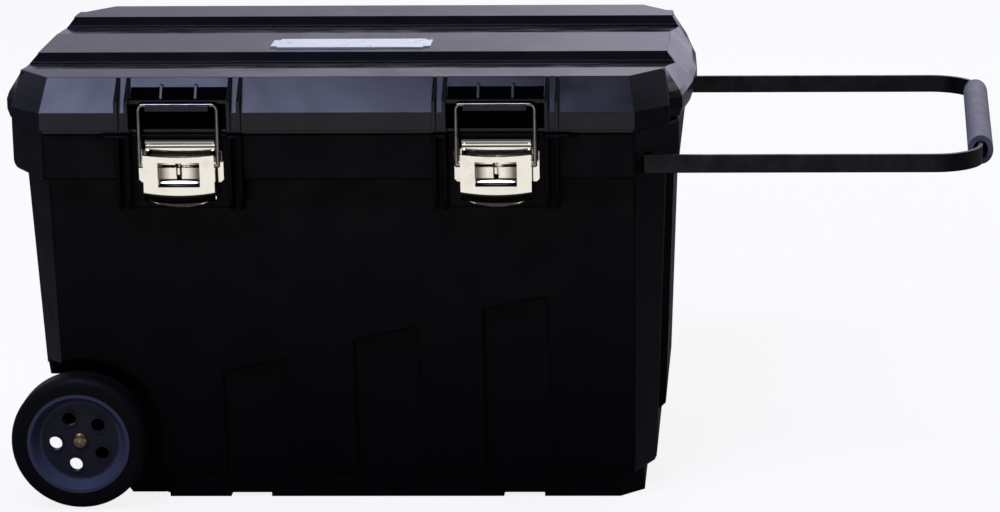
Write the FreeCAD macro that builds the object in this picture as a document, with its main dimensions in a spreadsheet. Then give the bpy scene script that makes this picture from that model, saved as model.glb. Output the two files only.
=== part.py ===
import FreeCAD, Part
import math
import os
import re
import Sketcher

# Rolling job chest, millimetres: X to the right, Y away from the front, Z up.
# The origin is on the floor, under the centre of the tub.

SIZES = {
    # tub walls: half sizes at the plinth's top and at the rim
    "plinth_height": 25, "tub_height": 418, "wall": 4, "floor_thickness": 5,
    "end_lean": 16, "wall_lean": 11.5, "end_gutter": 12.5, "gutter_depth": 23,
    "base_corner_run": 22.5, "rim_corner_run": 33.5, "base_corner": 50.5, "rim_corner": 47,
    "mitre": 0.414, "wall_foot_round": 7,
    "plinth_step": 3.5, "plinth_end_step": 12.5, "plinth_left": 202, "plinth_corner": 26,
    "foot_gap_height": 4.5, "foot_gap_width": 45, "left_foot_gap": -112, "right_foot_gap": 190,
    # rim band, whose skirt hangs outside the walls
    "band_half_length": 363, "band_half_depth": 235, "band_corner_run": 46, "band_corner": 70,
    "band_drop": 50.5, "band_skin": 3.5, "band_round": 8, "flange_thickness": 3.5,
    # recessed panels in the front, with room behind them, and pads on the ends
    "panel_depth": 3.5, "panel_one": -102, "panel_two": 42, "panel_three": 184, "panel_half_width": 35,
    "panel_one_top": 152, "panel_two_top": 188, "panel_three_top": 222, "panel_slant": 14,
    "panel_flare": 5, "panel_margin": 10,
    "pad_half_width": 118, "right_pad_bottom": 74, "pad_above_well": 4.9, "pad_proud": 8, "pad_slope": 10,
    # wheels and their well
    "axle_inset": 71.5, "axle_z": 76.1, "wheel_radius": 74.2, "tyre_width": 40, "tyre_round": 9,
    "wheel_overhang": 14, "well_radius": 82, "rim_radius": 56, "rim_lip": 4, "rim_skin": 5,
    "hub_recess_radius": 44.5, "hub_recess_depth": 13, "hub_inset": 0.5, "hub_dish": 2,
    "hub_hole_radius": 7.5, "hub_hole_circle": 27.3, "hub_hole_start": 41.5, "hub_collar": 2,
    "hub_collar_rise": 1.6, "hub_boss_radius": 13, "hub_boss_seat": 4, "hub_boss_gap": 2.5,
    "hub_web": 6, "cone_run": 1.5, "cone_rise": 2.5, "rim_setback": 2,
    "axle_radius": 5, "axle_cap_radius": 8.5, "axle_cap_height": 6.3,
    "washer_thickness": 2.1, "bracket_inset": 10.5, "bracket_thickness": 10, "bracket_low": 3,
    "bracket_boss": 17, "bracket_boss_length": 20, "bracket_toe": 47,
    # lid
    "lid_gap": 4.3, "lid_bend_rise": 23.7, "lid_rise": 58, "lid_wall": 4, "lid_end_inset": 9,
    "lid_overhang": 6, "lid_corner_run": 36, "lid_corner": 34, "lid_end_slope": 5.5,
    "lid_front_slope": 25, "lid_rear_slope": 23, "lid_top_corner_run": 36.5,
    "lid_top_corner": 44, "pillow_inset": 76, "left_pillow_bulge": 12.5,
    "right_pillow_bulge": 16.5, "pillow_edge_bulge": 4, "pillow_root": 8, "pillow_rim": 9, "pillow_lip": 3,
    "pillow_fullness": 0.75, "pillow_lean": 0.16,
    "groove_depth": 11, "groove_riser": 9, "groove_ledge": 3.2, "groove_step": 2.6, "rear_groove": 142,
    "rear_groove_end": 36, "front_groove": -76, "front_groove_end": -170, "lid_seat_width": 8,
    "seal_height": 3.9, "seal_width": 6,
    "badge_left": -86.5, "badge_right": 76.5, "badge_front": -57, "badge_rear": -8, "badge_tab": 7.5,
    "badge_step": 6.5, "badge_thickness": 1.6,
    # hinge
    "hinge_setback": 7, "hinge_rise": 6.5, "hinge_radius": 6, "hinge_pin_radius": 2.5, "hinge_station": 200,
    "knuckle_length": 28, "knuckle_gap": 0.6, "knuckle_seat": 20, "knuckle_foot": 8,
    "hinge_root": 3, "hinge_arm_rise": 10,
    # pull handle
    "arm_gap": 5.4, "bar_thickness": 4.5, "bar_height": 19.6, "bar_drop": 38.4, "arm_start": 20,
    "grip_travel": 333, "grip_skew": 15, "bend_radius": 52, "grip_half_width": 13.9, "grip_half_height": 16,
    "grip_wall": 5.78, "grip_length": 310, "grip_y": 5, "guide_length": 30, "inner_guide": 60,
    "outer_guide_inset": 78, "guide_web": 0.3, "glide_width": 6.5, "glide_height": 25,
    "mouth_margin": 3, "mouth_length": 38,
    # latch stations between two pairs of ribs
    "latch_half_spacing": 169.5, "latch_pocket": 52.5, "latch_rib": 4, "latch_rib_gap": 7,
    "rib_reach": 11, "apron_inset": 6, "apron_drop": 83, "rib_foot": 14, "rib_toe": 4, "rib_nose": 8,
    "shelf_reach": 3,
    "outer_flange": 34.5, "inner_flange": 16.5, "flange_bevel": 8,
    "small_rib_spacing": 18.5, "small_rib": 3, "small_rib_drop": 7, "small_rib_height": 14,
    "small_rib_depth": 6, "small_rib_run": 10.2, "gusset_root": 3, "gusset_crest": 2, "gusset_shoulder": 12,
    # latches
    "plate_thickness": 1.5, "base_half_width": 37, "wing_half_width": 45.5, "wing_foot": 54,
    "wing_head": 18, "wing_bevel": 3, "base_foot": 73, "base_head": 3.8, "bead_drop": 13.2,
    "bead_depth": 3.9, "bead_height": 8.2, "ear_x": 35.5, "ear_reach": 4, "ear_root": 9,
    "lever_half_width": 38, "lever_reach": 19.5, "lever_head": 21.2, "lever_top_sag": 2.3,
    "crease_drop": 63.4, "crease_sag": 3.9, "lip_drop": 8.3, "lip_drop_sag": 3.1,
    "pivot_reach": 9.5, "pivot_drop": 27, "pivot_pin_radius": 2,
    "cheek_depth": 5, "cheek_rear": 4, "dish_half_width": 22.4, "dish_foot": 55, "dish_head": 31,
    "dish_depth": 4, "scoop_height": 5.5, "slot_half_width": 2.75, "slot_foot": 49, "slot_head": 30,
    "staple_width": 2.5, "staple_foot": 44.5, "staple_head": 32, "staple_length": 18,
    "staple_bevel": 3, "staple_eye_radius": 2.6, "rivet_radius": 2.6, "rivet_height": 1.6,
    "rivet_x": 26, "upper_rivet_drop": 42, "lower_rivet_drop": 62,
    "bail_drop": 6, "bail_lead": 6, "bail_radius": 2.25, "bail_half_width": 42, "bail_reach": 11.5,
    "bail_rise": 32.2, "bail_bend": 5,
    "keeper_half_width": 34, "keeper_lip": 3, "keeper_shelf": 3, "keeper_wall": 2, "keeper_room": 3,
    "keeper_gap": 0.45,
    "recess_depth": 9, "brow_rise": 32.4, "brow_height": 5.1, "brow_depth": 4.3,
    # tote tray on its ledges
    "ledge_drop": 96, "ledge_width": 10, "ledge_thickness": 4, "ledge_inset": 34.5,
    "tray_length": 330, "tray_height": 80, "tray_wall": 3, "tray_clearance": 1.5, "tray_x": 30,
    "tray_handle_radius": 8, "tray_handle_rise": 30, "tray_handle_inset": 40, "tray_handle_half_foot": 14,
    # clearances, how far joined forms reach into each other, how far a cut runs past the part
    "running": 0.05, "seat": 0.3, "slide": 0.4, "play": 0.5, "overlap": 1, "beyond": 20,
}
# what follows from the sizes above
DERIVED = {
    "rim_half_depth": "band_half_depth - gutter_depth",
    "base_half_depth": "rim_half_depth - wall_lean",
    "plinth_half_depth": "base_half_depth - plinth_step",
    "corner_rim_y": "rim_half_depth - rim_corner",
    "corner_base_y": "base_half_depth - base_corner",
    "band_corner_y": "band_half_depth - band_corner",
    "lid_half_depth": "band_half_depth + lid_overhang",
    "lid_corner_y": "lid_half_depth - lid_corner",
    "lid_top_front": "lid_half_depth - lid_front_slope",
    "lid_top_rear": "band_half_depth - lid_rear_slope",
    "lid_top_corner_y": "lid_top_front - lid_top_corner",
    "pillow_half_width": "lid_half_depth - pillow_inset",
    "hinge_y": "band_half_depth + hinge_setback",
    "wheel_face": "band_half_depth + wheel_overhang",
    "bracket_face": "base_half_depth - bracket_inset",
    "arm_face": "rim_half_depth + arm_gap",
    "apron_face": "band_half_depth - apron_inset",
    "latch_front": "band_half_depth + rib_reach",
    "shelf_depth": "band_half_depth + shelf_reach",
    "recess_face": "lid_half_depth - recess_depth",
    "lever_face": "apron_face + lever_reach",
    "lever_pivot_y": "apron_face + pivot_reach",
    "bail_bar_y": "apron_face + bail_reach",
    "staple_reach": "apron_face + staple_length",
    "lid_bottom": "tub_height + lid_gap",
    "lid_bend": "tub_height + lid_bend_rise",
    "lid_top": "tub_height + lid_rise",
    "hinge_z": "tub_height + hinge_rise",
    "bar_z": "tub_height - bar_drop",
    "apron_bottom": "tub_height - apron_drop",
    "base_bottom": "tub_height - base_foot",
    "base_top": "tub_height - base_head",
    "wing_bottom": "tub_height - wing_foot",
    "wing_top": "tub_height - wing_head",
    "bead_low": "tub_height - bead_drop",
    "lever_top": "tub_height - lever_head",
    "crease_z": "tub_height - crease_drop",
    "lever_pivot_z": "tub_height - pivot_drop",
    "dish_bottom": "tub_height - dish_foot",
    "dish_top": "tub_height - dish_head",
    "slot_bottom": "tub_height - slot_foot",
    "slot_top": "tub_height - slot_head",
    "staple_bottom": "tub_height - staple_foot",
    "staple_top": "tub_height - staple_head",
    "upper_rivet": "tub_height - upper_rivet_drop",
    "lower_rivet": "tub_height - lower_rivet_drop",
    "bail_bar_z": "tub_height + bail_rise",
    "brow_low": "tub_height + brow_rise",
    "ledge_height": "tub_height - ledge_drop",
    "left_pad_bottom": "axle_z + well_radius + pad_above_well",
    "rim_half_length": "band_half_length - end_gutter",
    "base_half_length": "rim_half_length - end_lean",
    "corner_rim_x": "rim_half_length - rim_corner_run",
    "corner_base_x": "base_half_length - base_corner_run",
    "plinth_right": "base_half_length - plinth_end_step",
    "band_corner_x": "band_half_length - band_corner_run",
    "lid_half_length": "band_half_length - lid_end_inset",
    "lid_corner_x": "lid_half_length - lid_corner_run",
    "lid_top_half_length": "lid_half_length - lid_end_slope",
    "lid_top_corner_x": "lid_top_half_length - lid_top_corner_run",
    "left_pillow_reach": "band_half_length + left_pillow_bulge",
    "right_pillow_reach": "band_half_length + right_pillow_bulge",
    "pillow_edge_reach": "band_half_length + pillow_edge_bulge",
    "ledge_half_length": "base_half_length - ledge_inset",
    "outer_guide": "band_half_length - outer_guide_inset",
    "grip_x": "band_half_length + grip_travel",
    "axle_x": "axle_inset - band_half_length",
}
BAND_LOW = "(tub_height - band_drop)"
PLATE_FACE = "(apron_face + plate_thickness)"
LEVER_REAR = "(lever_face - plate_thickness)"
BAIL_Y = "(lever_pivot_y + bail_lead)"
BAIL_Z = "(lever_pivot_z - bail_drop)"
KEEPER_SHELF = "(bail_bar_z - bail_radius - keeper_gap)"
KEEPER_FACE = "(bail_bar_y + bail_radius + keeper_room)"
GUARD_X = "(latch_pocket + 2 * latch_rib + latch_rib_gap)"
HINGE_SPAN = "(3 * knuckle_length + 2 * knuckle_gap)"
STATIONS = (("left", "-latch_half_spacing"), ("right", "latch_half_spacing"))
SIDES = (("front", -1), ("rear", 1))

doc = FreeCAD.newDocument("rolling_chest")
sheet = doc.addObject("Spreadsheet::Sheet", "Sizes")
for row, (alias, value) in enumerate(SIZES.items(), start=1):
    cell = "A%d" % row
    sheet.set(cell, str(value))
    sheet.setAlias(cell, alias)
doc.recompute()

ALIAS = re.compile(r"\b(" + "|".join(SIZES) + r")\b")
FOLLOWS = re.compile(r"\b(" + "|".join(DERIVED) + r")\b")
sub_parts = []


def bound(text):
    """The text with every name written out in the sheet's own sizes."""
    text = str(text)
    while FOLLOWS.search(text):
        text = FOLLOWS.sub(lambda found: "(" + DERIVED[found.group(1)] + ")", text)
    return ALIAS.sub(r"Sizes.\1", text)


def size(alias):
    return float(sheet.get(alias))


def rectangle(x, y):
    (x0, x1), (y0, y1) = x, y
    return [(x0, y0), (x1, y0), (x1, y1), (x0, y1)]


def flip(ring):
    """The same ring on the other side of the first coordinate's zero."""
    return [("-(%s)" % first, second) for first, second in reversed(ring)]


def shifted(ring, middle):
    return [("%s + %s" % (middle, first), second) for first, second in ring]


class Piece:
    """One sub-part: a body with its sketches and features."""

    def __init__(self, label, kept=True):
        self.body = doc.addObject("PartDesign::Body", label)
        self.body.Label = label
        self.count = 0
        if kept:
            sub_parts.append(self.body)

    def origin(self, role):
        return next(f for f in self.body.Origin.OriginFeatures if f.Role == role)

    def sketch(self, plane, level):
        self.count += 1
        made = self.body.newObject("Sketcher::SketchObject", self.body.Name + "_sketch%d" % self.count)
        made.AttachmentSupport = [(self.origin(plane + "_Plane"), "")]
        made.MapMode = "FlatFace"
        # the XZ plane's normal points along -Y
        sign = "-" if plane == "XZ" else ""
        made.setExpression("AttachmentOffset.Base.z", bound("1 mm * %s(%s)" % (sign, level)))
        return made

    def place(self, made, edge, end, first, second):
        for kind, text in (("DistanceX", first), ("DistanceY", second)):
            index = made.addConstraint(Sketcher.Constraint(kind, -1, 1, edge, end, 1.0))
            made.setExpression("Constraints[%d]" % index, bound("1 mm * (%s)" % text))

    def outline(self, plane, level, *rings):
        """One sketch that holds closed rings of straight lines."""
        made = self.sketch(plane, level)
        first_edge = 0
        for number, ring in enumerate(rings):
            total = len(ring)
            turns = [2 * math.pi * i / total for i in range(total)]
            dots = [FreeCAD.Vector(50 * math.cos(a) + 200 * number, 50 * math.sin(a), 0) for a in turns]
            for i in range(total):
                made.addGeometry(Part.LineSegment(dots[i], dots[(i + 1) % total]), False)
            for i in range(total):
                made.addConstraint(Sketcher.Constraint("Coincident", first_edge + i, 2,
                                                       first_edge + (i + 1) % total, 1))
            for i, (first, second) in enumerate(ring):
                self.place(made, first_edge + i, 1, first, second)
            first_edge += total
        return made

    def rounds(self, plane, level, *circles):
        made = self.sketch(plane, level)
        for i, (first, second, radius) in enumerate(circles):
            made.addGeometry(Part.Circle(FreeCAD.Vector(i, 0, 0), FreeCAD.Vector(0, 0, 1), 3 + i), False)
            self.place(made, i, 3, first, second)
            index = made.addConstraint(Sketcher.Constraint("Radius", i, 3.0 + i))
            made.setExpression("Constraints[%d]" % index, bound("1 mm * (%s)" % radius))
        return made

    def feature(self, kind, profile, **settings):
        self.count += 1
        made = self.body.newObject("PartDesign::" + kind, self.body.Name + "_%s%d" % (kind, self.count))
        made.Profile = profile
        profile.Visibility = False
        for name, value in settings.items():
            if isinstance(value, str):
                made.setExpression(name, bound(value))
            else:
                setattr(made, name, value)
        self.body.Tip = made
        return made

    def faces_away(self, profile):
        return profile.AttachmentSupport[0][0].Role == "XZ_Plane"

    # pads and pockets run towards +X, +Y or +Z from the sketch's level
    def pad(self, profile, length):
        return self.feature("Pad", profile, Length="1 mm * (%s)" % length, Reversed=self.faces_away(profile))

    def pocket(self, profile, length):
        return self.feature("Pocket", profile, Length="1 mm * (%s)" % length,
                            Reversed=not self.faces_away(profile))

    def loft(self, sections):
        made = self.feature("AdditiveLoft", sections[0], Ruled=True)
        made.Sections = sections[1:]
        return made

    def revolve(self, profile):
        return self.feature("Revolution", profile, ReferenceAxis=(self.origin("Y_Axis"), [""]), Angle=360.0)

    def blocks(self, low, high, *rings):
        return self.pad(self.outline("XY", low, *rings), "(%s) - (%s)" % (high, low))

    def clear(self, low, high, *rings):
        return self.pocket(self.outline("XY", low, *rings), "(%s) - (%s)" % (high, low))

    def round(self, radius, chosen):
        doc.recompute()
        base = self.body.Tip
        names = ["Edge%d" % (i + 1) for i, edge in enumerate(base.Shape.Edges) if chosen(edge)]
        if not names:
            raise ValueError("no edge to round on " + self.body.Name)
        self.count += 1
        made = self.body.newObject("PartDesign::Fillet", self.body.Name + "_round%d" % self.count)
        made.Base = (base, names)
        made.setExpression("Radius", bound("1 mm * (%s)" % radius))
        self.body.Tip = made

    def join(self, kind, other):
        made = self.body.newObject("PartDesign::Boolean", self.body.Name + "_" + kind + "_" + other.body.Name)
        made.Type = kind
        made.setObjects([other.body])
        self.body.Tip = made


def octagon(half_length, half_depth, corner_x, corner_y):
    """Chamfered rectangle, the same on all four corners."""
    corners = [(corner_x, half_depth), (half_length, corner_y)]
    ring = []
    for sx, sy, order in ((1, -1, 1), (1, 1, -1), (-1, 1, 1), (-1, -1, -1)):
        for cx, cy in corners[::order]:
            ring.append(("%d * (%s)" % (sx, cx), "%d * (%s)" % (sy, cy)))
    return ring


def wall_share(level):
    return "((%s) - plinth_height) / (tub_height - plinth_height)" % level


def wall_half_depth(level):
    return "(base_half_depth + (rim_half_depth - base_half_depth) * %s)" % wall_share(level)


def wall_half_length(level):
    return "(base_half_length + (rim_half_length - base_half_length) * %s)" % wall_share(level)


def wall_ring(level, inset="0"):
    """The tub's outline at a level, with the walls' taper."""
    share = wall_share(level)
    corner_x = "corner_base_x + (corner_rim_x - corner_base_x) * %s - mitre * (%s)" % (share, inset)
    corner_y = "corner_base_y + (corner_rim_y - corner_base_y) * %s - mitre * (%s)" % (share, inset)
    return octagon("%s - (%s)" % (wall_half_length(level), inset),
                   "%s - (%s)" % (wall_half_depth(level), inset), corner_x, corner_y)


def plinth_ring(inset="0"):
    right, half = "(plinth_right - %s)" % inset, "(plinth_half_depth - %s)" % inset
    corner = "(plinth_corner - (1 - mitre) * %s)" % inset
    left = "-(plinth_left - %s)" % inset
    bevel_x, bevel_y = "%s - %s" % (right, corner), "%s - %s" % (half, corner)
    return [(left, "-" + half), (bevel_x, "-" + half), (right, "-(%s)" % bevel_y), (right, bevel_y),
            (bevel_x, half), (left, half)]


def level_edge(edge, level):
    return edge.BoundBox.ZLength < 0.01 and abs(edge.BoundBox.ZMin - level) < 0.01


def panel(name, margin="0"):
    middle, top = "panel_" + name, "panel_%s_top + %s" % (name, margin)
    left = "%s - panel_half_width - %s" % (middle, margin)
    right = "%s + panel_half_width + %s" % (middle, margin)
    return [(left, "plinth_height - overlap"), (right + " + panel_flare", "plinth_height - overlap"),
            (right, top + " + panel_slant / 2"), (left, top + " - panel_slant / 2")]


PANELS = ("one", "two", "three")
DEEP = "(base_half_depth + beyond)"
FAR_LEFT = "-(base_half_length + 2 * beyond)"


# The inside of the tub, which is cut out of it: walls, well and panels stay
def make_tub_core():
    core = Piece("tub_core", kept=False)
    low = "floor_thickness + foot_gap_height"
    core.loft([core.outline("XY", level, wall_ring(level, "wall")) for level in (low, "tub_height + overlap")])
    # the plinth's own walls
    frame = rectangle((FAR_LEFT, "-1 * %s" % FAR_LEFT), ("-2 * %s" % DEEP, "2 * %s" % DEEP))
    core.clear("0", "plinth_height + wall", frame, plinth_ring("wall"))
    # room for the wheel well and its shell
    core.pocket(core.rounds("XZ", "-" + DEEP, ("axle_x", "axle_z", "well_radius + wall")), "2 * " + DEEP)
    core.clear("-overlap", "axle_z",
               rectangle((FAR_LEFT, "axle_x + well_radius + wall"), ("-" + DEEP, DEEP)))
    # wall behind each recessed panel
    core.pocket(core.outline("XZ", "-" + DEEP, *[panel(name, "panel_margin") for name in PANELS]),
                "%s - (base_half_depth - panel_depth - wall)" % DEEP)
    return core


def make_tub_walls():
    walls = Piece("tub_walls", kept=False)
    levels = (("plinth_height", "wall_foot_round * 0.8"),
              ("plinth_height + wall_foot_round * 0.3", "wall_foot_round * 0.3"),
              ("plinth_height + wall_foot_round", "0"), ("tub_height", "0"))
    walls.loft([walls.outline("XY", level, wall_ring(level, inset)) for level, inset in levels])
    return walls


def rib_profile():
    return [("-(apron_face - overlap)", "apron_bottom + rib_toe"), ("-(apron_face - overlap)", "tub_height"),
            ("-latch_front", "tub_height"), ("-latch_front", "apron_bottom + rib_foot"),
            ("-(latch_front - rib_nose)", "apron_bottom")]


def station_gaps(y):
    """What is open between the ribs of one station."""
    rib_gap = ("latch_pocket + latch_rib", "latch_pocket + latch_rib + latch_rib_gap")
    gaps = [rectangle(("-latch_pocket", "latch_pocket"), y), rectangle(rib_gap, y),
            rectangle(["-(%s)" % x for x in reversed(rib_gap)], y)]
    return gaps


def flange(reach):
    return [("latch_pocket", "-(apron_face - overlap)"), ("latch_pocket", "-latch_front"),
            ("latch_pocket + %s - flange_bevel" % reach, "-latch_front"),
            ("latch_pocket + %s" % reach, "-(latch_front - flange_bevel)"),
            ("latch_pocket + %s" % reach, "-(apron_face - overlap)")]


def add_stations(tub):
    """Latch stations: the skirt stands back between two pairs of ribs and reaches lower."""
    for name, middle in STATIONS:
        tub.pad(tub.outline("YZ", "%s - %s" % (middle, GUARD_X), rib_profile()), "2 * " + GUARD_X)
    gaps = [shifted(ring, middle) for name, middle in STATIONS
            for ring in station_gaps(("-(latch_front + overlap)", "-apron_face"))]
    tub.clear("apron_bottom - overlap", "tub_height + overlap", *gaps)
    aprons = [shifted(rectangle(("-" + GUARD_X, GUARD_X), ("-apron_face", "-(apron_face - band_skin)")), middle)
              for name, middle in STATIONS]
    tub.blocks("apron_bottom", "tub_height", *aprons)
    shelves = []
    for (name, middle), outward in zip(STATIONS, (-1, 1)):
        ends = [flange("outer_flange"), flip(flange("inner_flange"))]
        if outward < 0:
            ends = [flip(flange("outer_flange")), flange("inner_flange")]
        shelf = rectangle(("-(latch_pocket - overlap)", "latch_pocket - overlap"),
                          ("-shelf_depth", "-(apron_face - overlap)"))
        shelves += [shifted(ring, middle) for ring in ends + [shelf]]
    tub.blocks("tub_height - flange_thickness", "tub_height", *shelves)


def add_hinge_seats(tub):
    seat = [("band_half_depth - hinge_root", "tub_height - knuckle_seat"),
            ("hinge_y + hinge_radius", "tub_height - knuckle_foot"),
            ("hinge_y + hinge_radius", "hinge_z"), ("hinge_y - hinge_radius", "hinge_z"),
            ("hinge_y - hinge_radius", "tub_height - play"),
            ("band_half_depth - hinge_root", "tub_height - play")]
    for middle in ("-hinge_station", "hinge_station"):
        start = "%s - %s / 2" % (middle, HINGE_SPAN)
        tub.pad(tub.outline("YZ", start, seat), HINGE_SPAN)
        tub.pad(tub.rounds("YZ", start, ("hinge_y", "hinge_z", "hinge_radius")), HINGE_SPAN)
    middle_knuckle = rectangle(("-(knuckle_length / 2 + knuckle_gap)", "knuckle_length / 2 + knuckle_gap"),
                               ("band_half_depth + overlap", "hinge_y + beyond"))
    tub.clear("tub_height - knuckle_seat - overlap", "hinge_z + beyond",
              *[shifted(middle_knuckle, middle) for middle in ("-hinge_station", "hinge_station")])
    tub.pocket(tub.rounds("YZ", "-(hinge_station + %s)" % HINGE_SPAN,
                          ("hinge_y", "hinge_z", "hinge_pin_radius + running")),
               "2 * (hinge_station + %s)" % HINGE_SPAN)


def make_tub(core, walls):
    tub = Piece("tub")
    ring = octagon("band_half_length", "band_half_depth", "band_corner_x", "band_corner_y")
    tub.pad(tub.outline("XY", BAND_LOW, ring), "band_drop")
    band_low = size("tub_height") - size("band_drop")
    tub.round("band_round", lambda e: level_edge(e, band_low) and e.BoundBox.XLength < 0.01)
    inner = octagon("band_half_length - band_skin", "band_half_depth - band_skin",
                    "band_corner_x - band_skin * 0.5", "band_corner_y - band_skin * 0.5")
    tub.clear(BAND_LOW, "tub_height - flange_thickness", inner)
    add_stations(tub)
    tub.join("Fuse", walls)
    tub.blocks("0", "plinth_height + overlap", plinth_ring())
    for sign, low in ((1, "right_pad_bottom"), (-1, "left_pad_bottom")):
        high = "tub_height - overlap"
        face = [("base_half_length - overlap", low),
                (wall_half_length(low) + " + pad_proud", low + " + pad_slope"),
                (wall_half_length(high) + " + pad_proud", high), ("base_half_length - overlap", high)]
        tub.pad(tub.outline("XZ", "-pad_half_width", face if sign > 0 else flip(face)), "2 * pad_half_width")
    tub.join("Cut", core)
    # the well is open below, to the left, and at both faces of the chest
    tub.pocket(tub.rounds("XZ", "-" + DEEP, ("axle_x", "axle_z", "well_radius")), "2 * " + DEEP)
    tub.clear("-overlap", "axle_z", rectangle((FAR_LEFT, "axle_x + well_radius"), ("-" + DEEP, DEEP)))
    # recessed panels with slanted tops
    tub.pocket(tub.outline("XZ", "-(base_half_depth + beyond)", *[panel(name) for name in PANELS]),
               "beyond + panel_depth")
    gap = "foot_gap_width / 2"
    tub.clear("-overlap", "foot_gap_height",
              *[rectangle(("%s - %s" % (middle, gap), "%s + %s" % (middle, gap)), ("-" + DEEP, DEEP))
                for middle in ("left_foot_gap", "right_foot_gap")])
    # axle brackets that stand in the well
    near = "axle_x - bracket_boss + overlap"
    web = [(near, "axle_z + well_radius + overlap"), (near, "axle_z"),
           ("axle_x + bracket_boss / 2", "axle_z - bracket_boss"), ("axle_x + bracket_toe", "bracket_low"),
           ("axle_x + well_radius + wall / 2", "bracket_low")]
    web += [("axle_x + (well_radius + wall * 0.7) * cos(%s deg)" % turn,
             "axle_z + (well_radius + wall * 0.7) * sin(%s deg)" % turn) for turn in (0, 22.5, 45, 67.5, 90)]
    for side, sign in SIDES:
        near = "-bracket_face" if sign < 0 else "bracket_face - bracket_thickness"
        tub.pad(tub.outline("XZ", near, web), "bracket_thickness")
        near = "-bracket_face" if sign < 0 else "bracket_face - bracket_boss_length"
        tub.pad(tub.rounds("XZ", near, ("axle_x", "axle_z", "bracket_boss")), "bracket_boss_length")
    tub.pocket(tub.rounds("XZ", "-" + DEEP, ("axle_x", "axle_z", "axle_radius + running")), "2 * " + DEEP)
    # mouths in the right-hand corners where the arms come out
    mouths = []
    for side, sign in SIDES:
        near = "-(arm_face + mouth_margin)" if sign < 0 else "arm_face - bar_thickness - mouth_margin"
        mouths.append(rectangle(("band_corner_x", "band_corner_x + mouth_length"),
                                (near, "%s + bar_thickness + 2 * mouth_margin" % near)))
    tub.clear("bar_z - bar_height / 2 - mouth_margin", "bar_z + bar_height / 2 + mouth_margin", *mouths)
    add_hinge_seats(tub)
    # ledges for the tote tray
    inner = "(%s - wall)" % wall_half_depth("ledge_height")
    ledge = ("%s - ledge_width" % inner, "%s + overlap" % inner)
    length = ("-ledge_half_length", "ledge_half_length")
    tub.blocks("ledge_height - ledge_thickness", "ledge_height", rectangle(length, ledge),
               rectangle(length, ["-(%s)" % y for y in reversed(ledge)]))


def lid_ring(level, inset="0"):
    """The lid's outline: its front and rear differ, and it narrows above the bend."""
    tall = "max(0, ((%s) - lid_bend) / (lid_top - lid_bend))" % level
    length = "lid_half_length + (lid_top_half_length - lid_half_length) * %s - (%s)" % (tall, inset)
    front = "lid_half_depth + (lid_top_front - lid_half_depth) * %s - (%s)" % (tall, inset)
    rear = "band_half_depth + (lid_top_rear - band_half_depth) * %s - (%s)" % (tall, inset)
    corner_x = "lid_corner_x + (lid_top_corner_x - lid_corner_x) * %s - mitre * (%s)" % (tall, inset)
    front_y = "lid_corner_y + (lid_top_corner_y - lid_corner_y) * %s - mitre * (%s)" % (tall, inset)
    rear_y = "(%s) - (lid_half_depth - band_half_depth)" % front_y
    return [(corner_x, "-(%s)" % front), (length, "-(%s)" % front_y), (length, rear_y), (corner_x, rear),
            ("-(%s)" % corner_x, rear), ("-(%s)" % length, rear_y), ("-(%s)" % length, "-(%s)" % front_y),
            ("-(%s)" % corner_x, "-(%s)" % front)]


def groove(start, end, drop="0"):
    """Sloped riser, a narrow ledge at its foot, then a floor that climbs to the next ridge."""
    low = "lid_top - groove_depth - (%s)" % drop
    back = "%s + (%s) / 2" % (start, drop)
    foot = "%s - groove_riser" % back
    return [(back, "lid_top + overlap"), (back, "lid_top - (%s)" % drop), (foot, low + " + groove_step"),
            (foot + " - groove_ledge", low + " + groove_step"), (foot + " - groove_ledge - play", low),
            (end, "lid_top - (%s)" % drop), (end, "lid_top + overlap")]


GROOVES = (("rear_groove", "rear_groove_end"), ("front_groove", "front_groove_end"))
LID_FAR = "(right_pillow_reach + beyond)"


def station_rooms(margin="0"):
    room = rectangle(("-(latch_pocket + %s)" % margin, "latch_pocket + %s" % margin),
                     ("-(lid_half_depth + beyond)", "-(recess_face - %s)" % margin))
    return [shifted(room, middle) for name, middle in STATIONS]


def make_lid_core():
    core = Piece("lid_core", kept=False)
    core.loft([core.outline("XY", "%s - (%s)" % (level, down), lid_ring(level, "lid_wall"))
               for level, down in (("lid_bottom", "beyond"), ("lid_bend", "0"), ("lid_top", "lid_wall"))])
    core.pocket(core.outline("YZ", "-" + LID_FAR, *[groove(start, end, "lid_wall") for start, end in GROOVES]),
                "2 * " + LID_FAR)
    core.clear("lid_bottom - beyond", "brow_low + lid_wall", *station_rooms("lid_wall"))
    return core


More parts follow.
